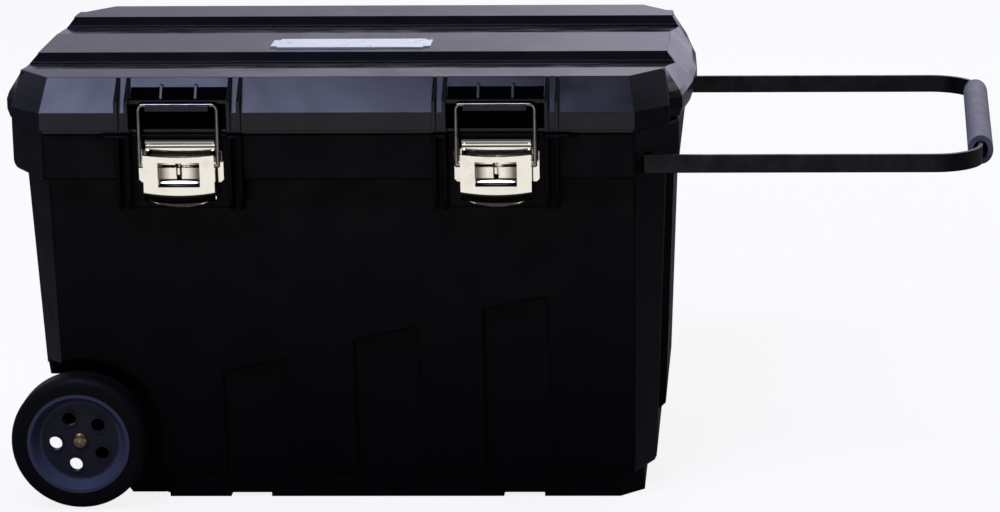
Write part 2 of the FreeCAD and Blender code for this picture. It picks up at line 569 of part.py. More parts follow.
def make_gussets():
    """Fins at the latch stations, in two pairs, with two small ribs between the pairs."""
    fins = Piece("lid_gussets", kept=False)
    fins.body.AllowCompound = True
    profile = [("-(lid_top_front - 2 * gusset_root)", "lid_top - 3 * gusset_root"),
               ("-(lid_top_front - gusset_root)", "lid_top"), ("-(lid_top_front + gusset_crest)", "lid_top"),
               ("-latch_front", "lid_bend + gusset_shoulder"), ("-latch_front", "lid_bottom"),
               ("-(lid_half_depth - gusset_crest)", "lid_bottom"),
               ("-(lid_half_depth - gusset_crest)", "lid_bend")]
    for name, middle in STATIONS:
        fins.pad(fins.outline("YZ", "%s - %s" % (middle, GUARD_X), profile), "2 * " + GUARD_X)
    gaps = [shifted(ring, middle) for name, middle in STATIONS
            for ring in station_gaps(("-(latch_front + overlap)", "-(lid_top_front - beyond)"))]
    fins.clear("lid_bottom - overlap", "lid_top + overlap", *gaps)
    rib_low = "lid_top - small_rib_drop - small_rib_height"
    rib = [("-(lid_top_front + gusset_crest)", "lid_top - small_rib_drop"),
           ("-(lid_top_front + gusset_crest + small_rib_depth)", "lid_top - small_rib_drop"),
           ("-(lid_top_front + gusset_crest + small_rib_depth + small_rib_run)", rib_low),
           ("-(lid_top_front + gusset_crest + small_rib_run)", rib_low)]
    for name, middle in STATIONS:
        for sign in (-1, 1):
            start = "%s + %d * small_rib_spacing - small_rib / 2" % (middle, sign)
            fins.pad(fins.outline("YZ", start, rib), "small_rib")
    return fins


def add_pillow(lid, sign, reach):
    """The bulged end of the lid."""
    mid_reach = "pillow_edge_reach + (%s - pillow_edge_reach) * pillow_fullness" % reach
    top = "(lid_top_half_length - play)"
    root = "lid_top_half_length - pillow_root"
    sections = []
    for share, out in ((-1.08, "lid_half_length"), (-1, "pillow_edge_reach"), (-0.5, mid_reach), (0, reach),
                       (0.5, mid_reach), (1, "pillow_edge_reach"), (1.08, "lid_half_length")):
        shape = [(root, "lid_bottom"), ("%s - pillow_lip" % out, "lid_bottom"),
                 (out, "lid_bottom + pillow_rim"),
                 (out, "lid_bend + overlap"),
                 ("(%s) - ((%s) - %s) * pillow_lean" % (out, out, top), "lid_bend + pillow_rim"),
                 (top, "lid_top - play"), (root, "lid_top - play")]
        sections.append(lid.outline("XZ", "%s * pillow_half_width" % share, shape if sign > 0 else flip(shape)))
    lid.loft(sections)


def make_lid(core, gussets):
    lid = Piece("lid")
    lid.loft([lid.outline("XY", level, lid_ring(level)) for level in ("lid_bottom", "lid_bend", "lid_top")])
    add_pillow(lid, -1, "left_pillow_reach")
    add_pillow(lid, 1, "right_pillow_reach")
    lid.pocket(lid.outline("YZ", "-" + LID_FAR, *[groove(start, end) for start, end in GROOVES]),
               "2 * " + LID_FAR)
    lid.join("Cut", core)
    # the ring that sits on the tub's rim
    lid.blocks("tub_height + seat", "lid_bottom + lid_wall", lid_ring("lid_bottom", "lid_wall - seat"),
               lid_ring("lid_bottom", "lid_wall + lid_seat_width"))
    lid.clear("lid_bottom - beyond", "brow_low", *station_rooms())
    brow = rectangle(("-latch_pocket", "latch_pocket"),
                     ("-(recess_face + brow_depth)", "-(recess_face - overlap)"))
    lid.blocks("brow_low", "brow_low + brow_height", *[shifted(brow, middle) for name, middle in STATIONS])
    lid.join("Fuse", gussets)
    # keeper: a shelf under the bail's bar with an upturned lip in front of it
    wide = ("-keeper_half_width", "keeper_half_width")
    shelf = rectangle(wide, ("-(%s + keeper_wall)" % KEEPER_FACE, "-(recess_face - overlap)"))
    lip = rectangle(wide, ("-(%s + keeper_wall)" % KEEPER_FACE, "-" + KEEPER_FACE))
    lid.blocks("%s - keeper_shelf" % KEEPER_SHELF, KEEPER_SHELF,
               *[shifted(shelf, middle) for name, middle in STATIONS])
    lid.blocks("%s - overlap" % KEEPER_SHELF, "%s + keeper_lip" % KEEPER_SHELF,
               *[shifted(lip, middle) for name, middle in STATIONS])
    arm = [("band_half_depth - hinge_root", "hinge_z - overlap"), ("hinge_y", "hinge_z - overlap"),
           ("hinge_y + overlap", "hinge_z + hinge_radius - seat"),
           ("band_half_depth - hinge_root", "hinge_z + hinge_radius + hinge_arm_rise")]
    for middle in ("-hinge_station", "hinge_station"):
        start = "%s - knuckle_length / 2" % middle
        lid.pad(lid.outline("YZ", start, arm), "knuckle_length")
        lid.pad(lid.rounds("YZ", start, ("hinge_y", "hinge_z", "hinge_radius")), "knuckle_length")
    lid.pocket(lid.rounds("YZ", "-(hinge_station + knuckle_length)",
                          ("hinge_y", "hinge_z", "hinge_pin_radius + running")),
               "2 * (hinge_station + knuckle_length)")


def make_lid_trim():
    badge = Piece("badge_plate")
    # a rectangle with a narrower tab at each end
    low, high = "badge_front + badge_step", "badge_rear - badge_step"
    left, right = "badge_left - badge_tab", "badge_right + badge_tab"
    ring = [("badge_left", "badge_front"), ("badge_right", "badge_front"), ("badge_right", low), (right, low),
            (right, high), ("badge_right", high), ("badge_right", "badge_rear"), ("badge_left", "badge_rear"),
            ("badge_left", high), (left, high), (left, low), ("badge_left", low)]
    badge.pad(badge.outline("XY", "lid_top", ring), "badge_thickness")
    seal = Piece("lid_seal")
    low = "(tub_height + seat)"
    seal.blocks(low, low + " + seal_height", lid_ring("lid_bottom", "lid_wall + lid_seat_width"),
                lid_ring("lid_bottom", "lid_wall + lid_seat_width + seal_width"))


def wheel_frame(piece):
    piece.body.setExpression("Placement.Base.x", bound("1 mm * axle_x"))
    piece.body.setExpression("Placement.Base.z", bound("1 mm * axle_z"))


def make_wheel(side, sign):
    def profile(points):
        return [(radius, "%d * (wheel_face - (%s))" % (sign, inset)) for radius, inset in points]

    tyre = Piece(side + "_tyre")
    wheel_frame(tyre)
    tyre.revolve(tyre.outline("XY", "0", profile([("rim_radius", "0"), ("wheel_radius", "0"),
                                                  ("wheel_radius", "tyre_width"),
                                                  ("rim_radius", "tyre_width")])))
    tread = size("wheel_radius")
    tyre.round("tyre_round", lambda e: "Circle" in str(e.Curve) and abs(e.Curve.Radius - tread) < 0.01)
    hub = Piece(side + "_hub")
    wheel_frame(hub)
    bore, face = "axle_radius + running", "hub_recess_depth"
    boss_seat = "hub_boss_radius - hub_boss_seat"
    boss_end = "wheel_face - bracket_face - hub_boss_gap"
    rim_inside, rim_back = "rim_radius - rim_lip", "tyre_width - rim_setback"
    hub.revolve(hub.outline("XY", "0", profile([
        (bore, face + " + hub_dish"), (boss_seat, face + " + hub_dish"), (boss_seat, face),
        ("hub_recess_radius", face), ("hub_recess_radius + cone_run", face + " - cone_rise"),
        (rim_inside + " - cone_run", "cone_rise"), (rim_inside, "hub_inset"), ("rim_radius", "hub_inset"),
        ("rim_radius", rim_back), ("rim_radius - rim_skin", rim_back),
        ("rim_radius - rim_skin", face + " + hub_web"), ("hub_boss_radius", face + " + hub_web"),
        ("hub_boss_radius", boss_end), (bore, boss_end)])))
    # the hub's first hole and its collar, repeated round the axle
    angle = "hub_hole_start * 1 deg"
    spot = ("hub_hole_circle * cos(%s)" % angle, "hub_hole_circle * sin(%s)" % angle)
    back = "-(wheel_face - %s + hub_collar_rise)" % face if sign < 0 else "wheel_face - %s - hub_web" % face
    collar = hub.pad(hub.rounds("XZ", back, spot + ("hub_hole_radius + hub_collar",)),
                     "hub_web + hub_collar_rise")
    low = "-(wheel_face + overlap)" if sign < 0 else "wheel_face - tyre_width - overlap"
    hole = hub.pocket(hub.rounds("XZ", low, spot + ("hub_hole_radius",)), "tyre_width + 2 * overlap")
    doc.recompute()
    ring = hub.body.newObject("PartDesign::PolarPattern", hub.body.Name + "_ring")
    ring.Originals = [collar, hole]
    ring.Axis = (hub.origin("Y_Axis"), [""])
    ring.Angle = 360.0
    ring.Occurrences = 5
    hub.body.Tip = ring


ALONG_X = FreeCAD.Rotation(FreeCAD.Vector(0, 1, 0), 90)
ALONG_Y = FreeCAD.Rotation(FreeCAD.Vector(1, 0, 0), -90)
UPRIGHT = FreeCAD.Rotation()


def solid(kind, name, place, turn=UPRIGHT, **sizes):
    """A plain solid whose sizes and place follow the sheet."""
    made = doc.addObject("Part::" + kind, name)
    made.Placement = FreeCAD.Placement(FreeCAD.Vector(), turn)
    for prop, text in sizes.items():
        made.setExpression(prop, bound("1 mm * (%s)" % text))
    for axis, text in zip("xyz", place):
        made.setExpression("Placement.Base." + axis, bound("1 mm * (%s)" % text))
    return made


def rod(name, turn, start, radius, length):
    return solid("Cylinder", name, start, turn, Radius=radius, Height=length)


def slab(name, x, y, z):
    spans = ["(%s) - (%s)" % (high, low) for low, high in (x, y, z)]
    return solid("Box", name, (x[0], y[0], z[0]), Length=spans[0], Width=spans[1], Height=spans[2])


def cut(name, base, tool):
    made = doc.addObject("Part::Cut", name)
    made.Base, made.Tool = base, tool
    return made


def gather(label, items):
    made = doc.addObject("Part::Compound", label)
    made.Label = label
    made.Links = items
    sub_parts.append(made)


def both_sides(sign, inner, outer):
    return ("-(%s)" % outer, "-(%s)" % inner) if sign < 0 else (inner, outer)


def make_running_gear():
    for side, sign in SIDES:
        make_wheel(side, sign)
    end = "(wheel_face - hub_recess_depth + hub_dish)"
    gather("axle", [rod("axle_rod", ALONG_Y, ("axle_x", "-" + end, "axle_z"), "axle_radius", "2 * " + end)])
    washers, caps = [], []
    for side, sign in SIDES:
        near = both_sides(sign, "bracket_face + slide / 2", "bracket_face + slide / 2 + washer_thickness")[0]
        disc = rod(side + "_washer_disc", ALONG_Y, ("axle_x", near, "axle_z"), "hub_boss_radius - overlap",
                   "washer_thickness")
        hole = rod(side + "_washer_hole", ALONG_Y, ("axle_x", "%s - overlap" % near, "axle_z"),
                   "axle_radius + 2 * running", "washer_thickness + 2 * overlap")
        washers.append(cut(side + "_washer", disc, hole))
        cap = Piece(side + "_cap_turning", kept=False)
        wheel_frame(cap)
        low = "wheel_face - hub_recess_depth - hub_dish + seat"
        top = low + " + axle_cap_height"
        shape = [("0", end), ("axle_radius", end), ("axle_radius", low), ("axle_cap_radius", low),
                 ("axle_cap_radius", low + " + axle_cap_height / 2"),
                 ("axle_cap_radius * 0.8", top + " - axle_cap_height / 5"),
                 ("axle_cap_radius / 2", top + " - seat"), ("0", top)]
        cap.revolve(cap.outline("XY", "0", [(x, "%d * (%s)" % (sign, y)) for x, y in shape]))
        caps.append(cap.body)
    gather("axle_washers", washers)
    gather("axle_caps", caps)


def make_hinge_pins():
    gather("hinge_pins", [rod(name + "_pin_rod", ALONG_X,
                              ("%s - %s / 2" % (middle, HINGE_SPAN), "hinge_y", "hinge_z"),
                              "hinge_pin_radius", HINGE_SPAN)
                          for name, middle in (("left", "-hinge_station"), ("right", "hinge_station"))])


def tube_shell(name, half_width, half_height, length):
    """An oval rod along Y, centred on the origin."""
    oval = doc.addObject("Part::Ellipse", name + "_oval")
    oval.setExpression("MajorRadius", bound("1 mm * (%s)" % half_height))
    oval.setExpression("MinorRadius", bound("1 mm * (%s)" % half_width))
    # facing along Y, with its long way upright
    stand = FreeCAD.Rotation(FreeCAD.Vector(1, 0, 0), 90) * FreeCAD.Rotation(FreeCAD.Vector(0, 0, 1), 90)
    oval.Placement = FreeCAD.Placement(FreeCAD.Vector(), stand)
    made = doc.addObject("Part::Extrusion", name)
    made.Base = oval
    made.DirMode = "Custom"
    made.Dir = FreeCAD.Vector(0, 1, 0)
    made.setExpression("LengthFwd", bound("1 mm * (%s)" % length))
    made.Solid = True
    made.Symmetric = True
    return made


def make_handle():
    bar = Piece("handle_bar")
    near, far = "grip_x - grip_skew / 2", "grip_x + grip_skew / 2"
    half = "bar_thickness / 2"
    inside = "(arm_face - bar_thickness)"
    ring = [("arm_start", "-arm_face"), ("%s + %s" % (near, half), "-arm_face"),
            ("%s + %s" % (far, half), "arm_face"), ("arm_start", "arm_face"), ("arm_start", inside),
            ("%s - %s" % (far, half), inside), ("%s - %s" % (near, half), "-" + inside),
            ("arm_start", "-" + inside)]
    bar.blocks("bar_z - bar_height / 2", "bar_z + bar_height / 2", ring)
    doc.recompute()
    outer_face = bar.body.Tip.Shape.BoundBox.YMax
    inner_face = outer_face - size("bar_thickness")

    def bend_edge(edge, face):
        box = edge.BoundBox
        return (box.ZLength > size("bar_height") - 0.01 and box.XMin > size("band_half_length")
                and abs(abs(box.YMin) - face) < 0.01)

    bar.round("bend_radius + bar_thickness / 2", lambda e: bend_edge(e, outer_face))
    bar.round("bend_radius - bar_thickness / 2", lambda e: bend_edge(e, inner_face))
    sleeve = tube_shell("grip_sleeve_outside", "grip_half_width", "grip_half_height", "grip_length")
    bore = tube_shell("grip_sleeve_bore", "grip_half_width - grip_wall", "grip_half_height - grip_wall",
                      "grip_length + 2 * overlap")
    grip = cut("grip_sleeve", sleeve, bore)
    grip.Placement = FreeCAD.Placement(FreeCAD.Vector(), FreeCAD.Rotation(FreeCAD.Vector(0, 0, 1), -1))
    grip.setExpression("Placement.Rotation.Angle", bound("-atan(grip_skew / (2 * arm_face))"))
    for axis, text in (("x", "grip_x + grip_skew * grip_y / (2 * arm_face)"), ("y", "grip_y"), ("z", "bar_z")):
        grip.setExpression("Placement.Base." + axis, bound("1 mm * (%s)" % text))
    sub_parts.append(grip)
    glides = []
    for side, sign in SIDES:
        glides.append(slab(side + "_glide", ("arm_start", "inner_guide - play"),
                           both_sides(sign, "arm_face", "arm_face + glide_width"),
                           ("bar_z - glide_height / 2", "bar_z + glide_height / 2")))
        guides = []
        for step in ("inner_guide", "outer_guide"):
            block = slab("%s_%s_block" % (side, step), (step, step + " + guide_length"),
                         both_sides(sign, "rim_half_depth + slide", "band_half_depth - band_skin - slide"),
                         (BAND_LOW + " + guide_web", "tub_height - flange_thickness"))
            slot = slab("%s_%s_slot" % (side, step), (step + " - overlap", step + " + guide_length + overlap"),
                        both_sides(sign, "arm_face - bar_thickness - slide", "arm_face + slide"),
                        ("bar_z - bar_height / 2 - slide", "bar_z + bar_height / 2 + slide"))
            guides.append(cut("%s_%s_guide" % (side, step), block, slot))
        gather(side + "_handle_guides", guides)
    gather("arm_glides", glides)


def plates(piece, middle, edge, profile):
    """Two upright plates, the same to the left and right of the latch's middle."""
    for sign in (-1, 1):
        start = "%s + %d * %s" % (middle, sign, edge)
        if sign > 0:
            start += " - plate_thickness"
        piece.pad(piece.outline("YZ", start, profile), "plate_thickness")


# the bead's section: share of its depth, share of its height
BEAD_CURVE = ((0.6, 0.1), (0.92, 0.29), (1, 0.52), (0.85, 0.76), (0.45, 0.93))


def make_latch_base(name, middle):
    base = Piece(name + "_latch_base")
    half = [("base_half_width", "base_bottom"), ("base_half_width", "wing_bottom"),
            ("wing_half_width - wing_bevel", "wing_bottom"), ("wing_half_width", "wing_bottom + wing_bevel"),
            ("wing_half_width", "wing_top - wing_bevel"), ("wing_half_width - wing_bevel", "wing_top"),
            ("base_half_width", "wing_top"), ("base_half_width", "base_top")]
    base.pad(base.outline("XZ", "-" + PLATE_FACE, shifted(half + flip(half), middle)), "plate_thickness")
    # rolled bead along the top
    bead = [("-(%s - overlap)" % PLATE_FACE, "bead_low")]
    bead += [("-(%s + bead_depth * %s)" % (PLATE_FACE, out), "bead_low + bead_height * %s" % up)
             for out, up in BEAD_CURVE]
    bead.append(("-(%s - overlap)" % PLATE_FACE, "bead_low + bead_height"))
    base.pad(base.outline("YZ", "%s - base_half_width" % middle, bead), "2 * base_half_width")
    ear = [("-(%s - overlap)" % PLATE_FACE, "lever_pivot_z - ear_root"),
           ("-(%s - overlap)" % PLATE_FACE, "lever_pivot_z + ear_root"),
           ("-(lever_pivot_y + ear_reach)", "lever_pivot_z + ear_reach"),
           ("-(lever_pivot_y + ear_reach)", "lever_pivot_z - ear_reach")]
    plates(base, middle, "ear_x", ear)
    base.pocket(base.rounds("YZ", "%s - base_half_width" % middle,
                            ("-lever_pivot_y", "lever_pivot_z", "pivot_pin_radius + running")),
                "2 * base_half_width")
    # padlock staple, which stands in the lever's slot
    tongue = [("-(%s - overlap)" % PLATE_FACE, "staple_bottom"), ("-(%s - overlap)" % PLATE_FACE, "staple_top"),
              ("-(staple_reach - staple_bevel)", "staple_top"), ("-staple_reach", "staple_top - staple_bevel"),
              ("-staple_reach", "staple_bottom + staple_bevel"),
              ("-(staple_reach - staple_bevel)", "staple_bottom")]
    base.pad(base.outline("YZ", "%s - staple_width / 2" % middle, tongue), "staple_width")
    base.pocket(base.rounds("YZ", "%s - staple_width" % middle,
                            ("-(staple_reach - 1.6 * staple_eye_radius)", "(staple_bottom + staple_top) / 2",
                             "staple_eye_radius")), "2 * staple_width")


# the curl's section below the crease: millimetres back, share of the drop
CURL_FRONT = ((0, 0), (0.9, 0.28), (3.2, 0.62), (5.4, 0.84), (4.2, 0.93), (4.9, 1))
CURL_REAR = ((6.8, 0.9), (4.9, 0.56), (2.4, 0.2))
LEVER_STEPS = ((-1, 0), (-0.6, 0.64), (-0.2, 0.96), (0.2, 0.96), (0.6, 0.64), (1, 0))


def lever_section(bow):
    """The lever's front plate and curled lower lip; bow runs from 0 at the ends to 1 in the middle."""
    top = "(lever_top - %s * lever_top_sag)" % bow
    crease = "(crease_z - %s * crease_sag)" % bow
    drop = "(lip_drop + %s * lip_drop_sag)" % bow
    ring = [("-lever_face", top)]
    ring += [("-(lever_face - %s)" % back, "%s - %s * %s" % (crease, down, drop))
             for back, down in CURL_FRONT + CURL_REAR]
    return ring + [("-" + LEVER_REAR, "%s + overlap" % crease), ("-" + LEVER_REAR, top)]


def make_latch_lever(name, middle):
    lever = Piece(name + "_latch_lever")
    lever.loft([lever.outline("YZ", "%s + %s * lever_half_width" % (middle, share), lever_section(bow))
                for share, bow in LEVER_STEPS])
    cheek = [("-(lever_face - 0.1)", "crease_z"), ("-(%s - cheek_depth)" % LEVER_REAR, "crease_z + overlap"),
             ("-(%s - cheek_depth)" % LEVER_REAR, "lever_pivot_z - 3 * ear_reach"),
             ("-(lever_pivot_y - cheek_rear)", "lever_pivot_z - bail_drop"),
             ("-(lever_pivot_y - cheek_rear)", "lever_pivot_z + cheek_rear / 2"),
             ("-(lever_face - 3)", "lever_top - overlap"), ("-(lever_face - 0.1)", "lever_top - overlap")]
    plates(lever, middle, "lever_half_width", cheek)
    # dished pocket with a scoop at its foot and the slot for the staple
    wide = ("-(dish_half_width + plate_thickness)", "dish_half_width + plate_thickness")
    back = "-(%s - dish_depth)" % LEVER_REAR
    lever.blocks("dish_bottom - plate_thickness", "dish_top + plate_thickness",
                 shifted(rectangle(wide, ("-(lever_face - 0.1)", back)), middle))
    lever.clear("dish_bottom", "dish_top",
                shifted(rectangle(("-dish_half_width", "dish_half_width"),
                                  ("-(lever_face + overlap)", back + " - plate_thickness")), middle))
    scoop = [("-(lever_face - 0.2)", "dish_bottom - overlap"), (back + " - overlap", "dish_bottom - overlap"),
             (back + " - overlap", "dish_bottom + scoop_height"),
             ("-(%s - 1.5)" % LEVER_REAR, "dish_bottom + scoop_height * 0.6"),
             ("-(lever_face - 0.2)", "dish_bottom + 0.2")]
    lever.pad(lever.outline("YZ", "%s - dish_half_width + overlap" % middle, scoop),
              "2 * (dish_half_width - overlap)")
    lever.clear("slot_bottom", "slot_top",
                shifted(rectangle(("-slot_half_width", "slot_half_width"),
                                  ("-(lever_face + overlap)", back + " + overlap")), middle))
    lever.pocket(lever.rounds("YZ", "%s - lever_half_width - overlap" % middle,
                              ("-lever_pivot_y", "lever_pivot_z", "pivot_pin_radius + running"),
                              ("-" + BAIL_Y, BAIL_Z, "bail_radius + running")),
                 "2 * (lever_half_width + overlap)")


def make_bail(name, middle):
    """Wire bail: two legs, a bar with bent corners, and ends turned into the lever's cheeks."""
    lean_y = "(%s - bail_bar_y)" % BAIL_Y
    rise = "(bail_bar_z - %s)" % BAIL_Z
    long = "sqrt(%s ^ 2 + %s ^ 2)" % (lean_y, rise)
    wires = [rod(name + "_bail_bar", ALONG_X, ("-(bail_half_width - bail_bend)", "0", long), "bail_radius",
                 "2 * (bail_half_width - bail_bend)")]
    reach = "(lever_half_width - plate_thickness - play)"
    quarter = FreeCAD.Rotation(FreeCAD.Vector(1, 0, 0), 90)
    half_turn = FreeCAD.Rotation(FreeCAD.Vector(0, 0, 1), 180)
    for side, sign in (("a", -1), ("b", 1)):
        leg_x = "%d * bail_half_width" % sign
        wires.append(rod("%s_bail_leg_%s" % (name, side), UPRIGHT, (leg_x, "0", "0"), "bail_radius",
                         "%s - bail_bend" % long))
        start = "-bail_half_width" if sign < 0 else reach
        wires.append(rod("%s_bail_end_%s" % (name, side), ALONG_X, (start, "0", "0"), "bail_radius",
                         "bail_half_width - %s" % reach))
        wires.append(solid("Sphere", "%s_bail_ball_%s" % (name, side), (leg_x, "0", "0"), Radius="bail_radius"))
        corner = solid("Torus", "%s_bail_corner_%s" % (name, side),
                       ("%d * (bail_half_width - bail_bend)" % sign, "0", "%s - bail_bend" % long),
                       half_turn * quarter if sign < 0 else quarter, Radius1="bail_bend", Radius2="bail_radius")
        corner.Angle3 = 90
        wires.append(corner)
    bail = doc.addObject("Part::MultiFuse", name + "_latch_bail")
    bail.Label = name + "_latch_bail"
    bail.Shapes = wires
    bail.Placement = FreeCAD.Placement(FreeCAD.Vector(), FreeCAD.Rotation(FreeCAD.Vector(1, 0, 0), -1))
    bail.setExpression("Placement.Rotation.Angle", bound("-atan(%s / %s)" % (lean_y, rise)))
    for axis, text in (("x", middle), ("y", "-" + BAIL_Y), ("z", BAIL_Z)):
        bail.setExpression("Placement.Base." + axis, bound("1 mm * (%s)" % text))
    sub_parts.append(bail)


def make_latch(name, middle):
    make_latch_base(name, middle)
    make_latch_lever(name, middle)
    start = ("%s - lever_half_width - play" % middle, "-lever_pivot_y", "lever_pivot_z")
    gather(name + "_latch_pin", [rod(name + "_pivot_rod", ALONG_X, start, "pivot_pin_radius",
                                     "2 * (lever_half_width + play)")])
    make_bail(name, middle)
    heads = []
    for sign in (-1, 1):
        for level in ("upper_rivet", "lower_rivet"):
            heads.append(rod("%s_rivet_%d" % (name, len(heads)), ALONG_Y,
                             ("%s + %d * rivet_x" % (middle, sign), "-(%s + rivet_height)" % PLATE_FACE, level),
                             "rivet_radius", "rivet_height"))
    gather(name + "_latch_rivets", heads)


def make_tray():
    half = "(%s - wall - tray_clearance)" % wall_half_depth("ledge_height")
    low = "(ledge_height + seat)"
    top = "(%s + tray_height)" % low
    left, right = "tray_x - tray_length / 2", "tray_x + tray_length / 2"
    tray = Piece("tote_tray")
    tray.blocks(low, top, rectangle((left, right), ("-" + half, half)))
    bays = [rectangle(("%s + tray_wall" % start, "%s - tray_wall" % end),
                      ("-(%s - tray_wall)" % half, "%s - tray_wall" % half))
            for start, end in ((left, "tray_x"), ("tray_x", right))]
    tray.clear("%s + tray_wall" % low, top + " + overlap", *bays)
    grip = Piece("tray_handle")
    foot = "(%s - tray_wall - tray_handle_inset)" % half
    for sign in (-1, 1):
        edge = "%d * %s" % (sign, foot)
        grip.blocks(top, top + " + tray_handle_rise",
                    rectangle(("tray_x - tray_wall", "tray_x + tray_wall"),
                              ("%s - tray_handle_half_foot" % edge, "%s + tray_handle_half_foot" % edge)))
    bar_z = "%s + tray_handle_rise - tray_handle_radius" % top
    grip.pad(grip.rounds("XZ", "-" + foot, ("tray_x", bar_z, "tray_handle_radius")), "2 * " + foot)


make_tub(make_tub_core(), make_tub_walls())
make_lid(make_lid_core(), make_gussets())
make_lid_trim()
make_hinge_pins()
make_running_gear()
make_handle()
for station, centre in STATIONS:
    make_latch(station, centre)
make_tray()
doc.recompute()

for item in doc.Objects:
    if "Invalid" in item.State or "Error" in item.State:
        raise ValueError("%s is in state %s" % (item.Name, item.State))
os.makedirs("parts", exist_ok=True)
for part in sub_parts:
    if part.Shape.isNull() or not part.Shape.isValid() or not part.Shape.Solids:
        raise ValueError("%s has no valid solid" % part.Label)
for part in sub_parts:
    part.Shape.exportStep("parts/%s.step" % part.Label)
    box = part.Shape.BoundBox
    print("%-20s %2d solids %9.1f cm3  X %.1f %.1f  Y %.1f %.1f  Z %.1f %.1f" % (
        part.Label, len(part.Shape.Solids), part.Shape.Volume / 1000, box.XMin, box.XMax, box.YMin, box.YMax,
        box.ZMin, box.ZMax))
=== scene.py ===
import math

import bmesh
import bpy
from mathutils import Matrix, Vector


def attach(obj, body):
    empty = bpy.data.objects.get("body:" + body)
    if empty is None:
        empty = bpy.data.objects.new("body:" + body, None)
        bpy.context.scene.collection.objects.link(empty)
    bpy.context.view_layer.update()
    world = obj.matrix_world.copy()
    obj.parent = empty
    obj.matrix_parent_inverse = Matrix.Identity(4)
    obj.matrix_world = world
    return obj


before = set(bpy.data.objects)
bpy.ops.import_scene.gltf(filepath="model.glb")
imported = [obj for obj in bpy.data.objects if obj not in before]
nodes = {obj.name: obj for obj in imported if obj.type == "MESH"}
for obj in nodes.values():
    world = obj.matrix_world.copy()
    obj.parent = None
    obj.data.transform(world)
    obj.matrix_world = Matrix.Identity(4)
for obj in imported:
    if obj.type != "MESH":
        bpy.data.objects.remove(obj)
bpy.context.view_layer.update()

# The photograph's view: focal length in pixels of a 1000 pixel wide frame, and where the lens stood
FOCAL_PIXELS = 3678.0
FRAME_WIDTH = 1000.0
PRINCIPAL_X = 700.0
PITCH, YAW, ROLL = 0.246, -0.021, -0.007
CAMERA_PLACE = Vector((0.46673, -4.06584, 1.24435))
SENSOR = 36.0

# The studio: a pale sweep behind the object and a dim room in front of it
WHITE = (1, 1, 1, 1)
SWEEP_COLOUR = (0.78, 0.76, 0.96, 1)
ROOM_COLOUR = (0.05, 0.05, 0.06, 1)
SWEEP_RISE = (-0.1, 0.85)
SWEEP_SIDE = (-0.1, -0.03, 0.53, 1.0)
FLOOR_COLOUR = (0.22, 0.22, 0.23, 1)
FLOOR_SIZE, FLOOR_DROP = 14, 0.0005
# How much the floor glows for camera rays and, where it is palest, for glossy rays
FLOOR_GLOW, FLOOR_IN_GLOSS = 0.86, 0.82
# It is palest a stride in front of the object: axis, start and end of each rise, and its values there
FLOOR_RISES = (
    ("Y", -0.45, -1.75, 0.03, FLOOR_IN_GLOSS),
    ("X", 1.5, 0.5, 0.1, 1.0),
    ("X", -1.9, -0.9, 0.1, 1.0),
)

# Places on the object
SIDES = {"front": -1, "rear": 1}
LATCH_X = {"left": -0.1695, "right": 0.1695}
AXLE_X, AXLE_Z = -0.2915, 0.0761
# Inner and outer radius of the painted highlight on each hub's cone
HUB_CONE = (0.0425, 0.06)
LID_TOP, GROOVE_DEPTH = 0.476, 0.011
# Each groove: foot of its riser, length of its floor, where the dull strip of painted shade starts to taper,
# where it ends
GROOVES = {"rear": (0.1293, 0.0938, 0.16, 0.235), "front": (-0.0887, 0.0818, 0.27, 0.31)}
STRIP_LEFT, STRIP_WIDTH, STRIP_LIFT = -0.318, 0.024, 0.0004

# Zones of the latches by height, and by distance from the latch's middle
LEVER_BOW = 2.3
LEVER_HEAD, LEVER_CURL = (0.3965, 0.4003), (0.3432, 0.3532)
DISH_HEIGHT, DISH_HALF_WIDTH, DISH_FLANK = (0.3705, 0.389), 0.0225, (0.009, 0.019)
FOOT_HEIGHT, FOOT_HALF_WIDTH = (0.3622, 0.3708), 0.0222
LIP_Z, LIP_HALF_WIDTH, LIP_HALF_HEIGHT, LIP_EDGE = 0.3664, 0.0195, 0.0026, (0.85, 1.1)
SLOT_HEIGHT, SLOT_EDGES = (0.3735, 0.3885), (0.0009, 0.0031)
BASE_HALF_WIDTH = 0.0375
BASE_LINES = ((0.4015, 0.4035), (0.3925, 0.3985), (0.4115, 0.4135))
# Colours painted on the latches: a painted highlight, painted shade and painted dark reflections
LIP_PAINTED_HIGHLIGHT = (0.92, 0.87, 0.76)
DISH_PAINTED_SHADE = (0.13, 0.095, 0.07)
HEAD_PAINTED_REFLECTION = (0.10, 0.085, 0.06)
BEAD_PAINTED_REFLECTION = (0.03, 0.026, 0.02)
DEEP_PAINTED_SHADE = (0.02, 0.018, 0.014)
CURL_PAINTED_REFLECTION = (0.012, 0.011, 0.009)


def make_camera():
    """Stands where the photograph's lens stood, with the frame's middle shifted as in the picture."""
    ahead = Vector((math.sin(YAW), math.cos(YAW), 0.0))
    right = Vector((math.cos(YAW), -math.sin(YAW), 0.0))
    view = ahead * math.cos(PITCH) - Vector((0, 0, 1)) * math.sin(PITCH)
    down = view.cross(right)
    level_right = right * math.cos(ROLL) - down * math.sin(ROLL)
    level_up = level_right.cross(view)
    turn = Matrix((level_right, level_up, -view)).transposed().to_4x4()
    data = bpy.data.cameras.new("photo_camera")
    data.sensor_width = SENSOR
    data.lens = FOCAL_PIXELS * SENSOR / FRAME_WIDTH
    data.shift_x = (FRAME_WIDTH / 2 - PRINCIPAL_X) / FRAME_WIDTH
    data.clip_start, data.clip_end = 0.1, 50.0
    camera = bpy.data.objects.new("photo_camera", data)
    camera.matrix_world = Matrix.Translation(CAMERA_PLACE) @ turn
    bpy.context.collection.objects.link(camera)
    bpy.context.scene.camera = camera


